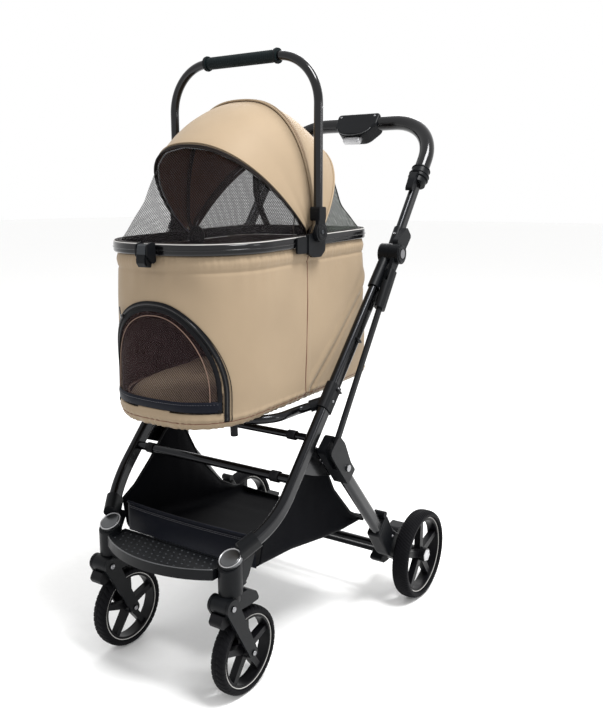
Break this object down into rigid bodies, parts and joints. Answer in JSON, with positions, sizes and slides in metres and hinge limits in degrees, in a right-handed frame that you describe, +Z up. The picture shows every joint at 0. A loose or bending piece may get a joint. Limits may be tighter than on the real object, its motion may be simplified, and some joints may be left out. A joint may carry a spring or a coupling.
{
  "type": "pet stroller",
  "caption": "Folding four-wheeled pet stroller: lift-off cloth carrier with hood and mesh, swivel front casters, storage basket, telescopic push bar.",
  "frame": {"origin": "on the floor under the middle of the stroller's bounding box", "axes": "+Z up, front faces -Y, +X to the right seen from behind the front"},
  "size_m": [0.518, 0.7499, 1.11],
  "materials": {
    "frame_metal": "black anodised, semi-gloss",
    "black_plastic": "fine satin moulded",
    "cap_metal": "dark satin disc",
    "steel": "zinc plated",
    "silver_plastic": "silver painted",
    "grip_rubber": "soft-touch sleeve",
    "bumper_rubber": "moulded rubber",
    "tyre_rubber": "foam rubber tread",
    "rim_plastic": "satin with a pale trim ring",
    "beige_fabric": "coated canvas",
    "mesh_fabric": "knitted net",
    "basket_fabric": "woven polyester",
    "cushion_fabric": "quilted pad"
  },
  "bodies": {
    "frame": {"main_tube_left": "frame_metal", "main_tube_right": "frame_metal", "front_housings": "black_plastic", "caster_caps": "cap_metal", "footplate": "black_plastic", "crossbars": "frame_metal", "support_tube": "frame_metal", "support_brackets": "black_plastic", "hinge_housings": "black_plastic", "leg_brackets": "frame_metal", "basket": "basket_fabric", "frame_screws": "steel"},
    "handle": {"handle_tubes": "frame_metal", "handle_knuckles": "black_plastic"},
    "push_bar": {"push_bar": "frame_metal", "handle_collars": "black_plastic", "release_housing": "black_plastic"},
    "levers": {"height_levers": "black_plastic"},
    "fold_button": {"fold_button": "silver_plastic"},
    "rear_frame": {"rear_leg_left": "frame_metal", "rear_leg_right": "frame_metal", "leg_collars": "black_plastic", "rear_housings": "black_plastic", "rear_crossbar": "frame_metal", "rear_axles": "steel"},
    "brake": {"brake_pedal": "black_plastic"},
    "struts": {"fold_struts": "black_plastic"},
    "carrier": {"carrier_shell": "beige_fabric", "carrier_rim": "frame_metal", "base_board": "black_plastic", "cushion": "cushion_fabric", "rim_brackets": "black_plastic", "rib_rear": "steel", "hood_rear": "beige_fabric", "rear_mesh": "mesh_fabric"},
    "bail": {"bail_tube": "frame_metal", "bail_grip": "grip_rubber", "bail_pivots": "black_plastic"},
    "latch": {"latch_lever": "black_plastic"},
    "window_door": {"window_door": "mesh_fabric"},
    "rib_mid": {"rib_mid": "steel", "hood_front": "beige_fabric"},
    "rib_front": {"rib_front": "steel", "front_mesh": "mesh_fabric"},
    "rear_wheel_left": {"rear_tyre_left": "tyre_rubber", "rear_rim_left": "rim_plastic"},
    "caster_left": {"caster_yoke_left": "black_plastic", "bumper_left": "bumper_rubber"},
    "fork_left": {"fork_left": "black_plastic"},
    "front_wheel_left": {"front_tyre_left": "tyre_rubber", "front_rim_left": "rim_plastic"},
    "swivel_lock_left": {"swivel_lock_left": "black_plastic"},
    "rear_wheel_right": {"rear_tyre_right": "tyre_rubber", "rear_rim_right": "rim_plastic"},
    "caster_right": {"caster_yoke_right": "black_plastic", "bumper_right": "bumper_rubber"},
    "fork_right": {"fork_right": "black_plastic"},
    "front_wheel_right": {"front_tyre_right": "tyre_rubber", "front_rim_right": "rim_plastic"},
    "swivel_lock_right": {"swivel_lock_right": "black_plastic"}
  },
  "joints": [
    {"name": "handle_fold", "type": "hinge", "parent": "frame", "child": "handle", "pos_m": [0, 0.1345, 0.745], "axis": [1, 0, 0], "range_deg": [0, 55]},
    {"name": "leg_fold", "type": "hinge", "parent": "frame", "child": "rear_frame", "pos_m": [0, -0.06209, 0.36207], "axis": [1, 0, 0], "range_deg": [-33, 0]},
    {"name": "strut_swing", "type": "hinge", "parent": "handle", "child": "struts", "pos_m": [0, 0.10656, 0.70354], "axis": [1, 0, 0], "range_deg": [-57.6, 0]},
    {"name": "height_slide", "type": "slide", "parent": "handle", "child": "push_bar", "axis": [0, 0.5948, 0.8039], "range_m": [-0.048, 0]},
    {"name": "height_lever_turn", "type": "hinge", "parent": "push_bar", "child": "levers", "pos_m": [0, 0.24469, 0.90096], "axis": [1, 0, 0], "range_deg": [-18, 0]},
    {"name": "fold_button_press", "type": "slide", "parent": "push_bar", "child": "fold_button", "axis": [0, 0.5948, 0.8039], "range_m": [0, 0.005], "stiffness_N_per_m": 400, "springref_m": -0.004},
    {"name": "brake_press", "type": "hinge", "parent": "rear_frame", "child": "brake", "pos_m": [0, 0.1745, 0.096], "axis": [1, 0, 0], "range_deg": [-14, 0]},
    {"name": "carrier_lift", "type": "slide", "parent": "frame", "child": "carrier", "axis": [0, 0, -1], "range_m": [-0.25, 0]},
    {"name": "bail_turn", "type": "hinge", "parent": "carrier", "child": "bail", "pos_m": [0, -0.0805, 0.793], "axis": [1, 0, 0], "range_deg": [-65, 65]},
    {"name": "latch_turn", "type": "hinge", "parent": "carrier", "child": "latch", "pos_m": [0, -0.3415, 0.771], "axis": [1, 0, 0], "range_deg": [-30, 0], "stiffness_Nm_per_rad": 0.1, "springref_deg": 17.19},
    {"name": "door_open", "type": "hinge", "parent": "carrier", "child": "window_door", "pos_m": [0, -0.3405, 0.5], "axis": [1, 0, 0], "range_deg": [0, 100]},
    {"name": "canopy_mid", "type": "hinge", "parent": "carrier", "child": "rib_mid", "pos_m": [0, -0.0695, 0.775], "axis": [1, 0, 0], "range_deg": [-36, 0], "deforming": ["hood_rear"]},
    {"name": "canopy_front", "type": "hinge", "parent": "rib_mid", "child": "rib_front", "pos_m": [0, -0.0695, 0.775], "axis": [1, 0, 0], "range_deg": [-40, 0], "deforming": ["hood_front", "front_mesh"]},
    {"name": "rear_wheel_left_spin", "type": "hinge", "parent": "rear_frame", "child": "rear_wheel_left", "pos_m": [-0.2395, 0.2125, 0.095], "axis": [1, 0, 0], "continuous": true},
    {"name": "caster_left_swivel", "type": "hinge", "parent": "frame", "child": "caster_left", "pos_m": [-0.143, -0.3135, 0.1995], "axis": [0, 0, 1], "continuous": true},
    {"name": "fork_left_spring", "type": "hinge", "parent": "caster_left", "child": "fork_left", "pos_m": [-0.143, -0.3335, 0.1835], "axis": [1, 0, 0], "range_deg": [0, 5], "stiffness_Nm_per_rad": 40, "springref_deg": -6.88},
    {"name": "front_wheel_left_spin", "type": "hinge", "parent": "fork_left", "child": "front_wheel_left", "pos_m": [-0.143, -0.2795, 0.0778], "axis": [1, 0, 0], "continuous": true},
    {"name": "swivel_lock_left_turn", "type": "hinge", "parent": "frame", "child": "swivel_lock_left", "pos_m": [-0.143, -0.2895, 0.222], "axis": [1, 0, 0], "range_deg": [0, 18]},
    {"name": "rear_wheel_right_spin", "type": "hinge", "parent": "rear_frame", "child": "rear_wheel_right", "pos_m": [0.2395, 0.2125, 0.095], "axis": [1, 0, 0], "continuous": true},
    {"name": "caster_right_swivel", "type": "hinge", "parent": "frame", "child": "caster_right", "pos_m": [0.143, -0.3135, 0.1995], "axis": [0, 0, 1], "continuous": true},
    {"name": "fork_right_spring", "type": "hinge", "parent": "caster_right", "child": "fork_right", "pos_m": [0.143, -0.3335, 0.1835], "axis": [1, 0, 0], "range_deg": [0, 5], "stiffness_Nm_per_rad": 40, "springref_deg": -6.88},
    {"name": "front_wheel_right_spin", "type": "hinge", "parent": "fork_right", "child": "front_wheel_right", "pos_m": [0.143, -0.2795, 0.0778], "axis": [1, 0, 0], "continuous": true},
    {"name": "swivel_lock_right_turn", "type": "hinge", "parent": "frame", "child": "swivel_lock_right", "pos_m": [0.143, -0.2895, 0.222], "axis": [1, 0, 0], "range_deg": [0, 18]}
  ],
  "couplings": [
    {"joint": "leg_fold", "follows": "handle_fold", "ratio": -0.6},
    {"joint": "strut_swing", "follows": "handle_fold", "ratio": -1.0455},
    {"joint": "canopy_front", "follows": "canopy_mid", "ratio": 1.1111}
  ]
}
